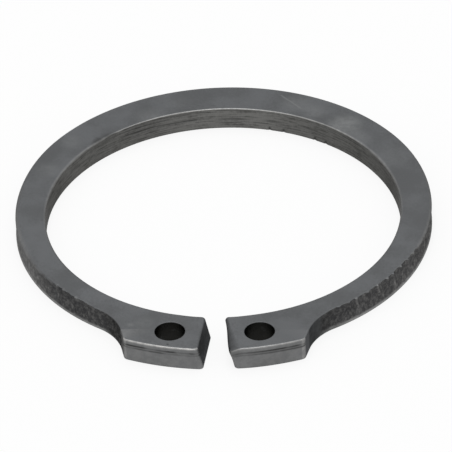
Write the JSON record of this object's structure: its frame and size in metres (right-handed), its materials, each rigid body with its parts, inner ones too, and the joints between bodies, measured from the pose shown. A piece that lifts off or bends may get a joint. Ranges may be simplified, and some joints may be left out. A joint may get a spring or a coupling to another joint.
{
  "type": "external retaining ring",
  "caption": "Flat open spring-steel ring that snaps into a shaft groove; widest opposite its gap, with an eyed lug at each end for pliers.",
  "frame": {"origin": "centre of the bore, on the ring's flat underside", "axes": "+Z along the bore axis, out of the rolled-edge face; the gap between the lugs is on the -Y side"},
  "size_m": [0.0348, 0.0373, 0.002],
  "materials": {
    "ring_steel": "satin dark phosphate grey, rough sheared outer edge"
  },
  "bodies": {
    "root": {"retaining_ring": "ring_steel"}
  },
  "joints": []
}
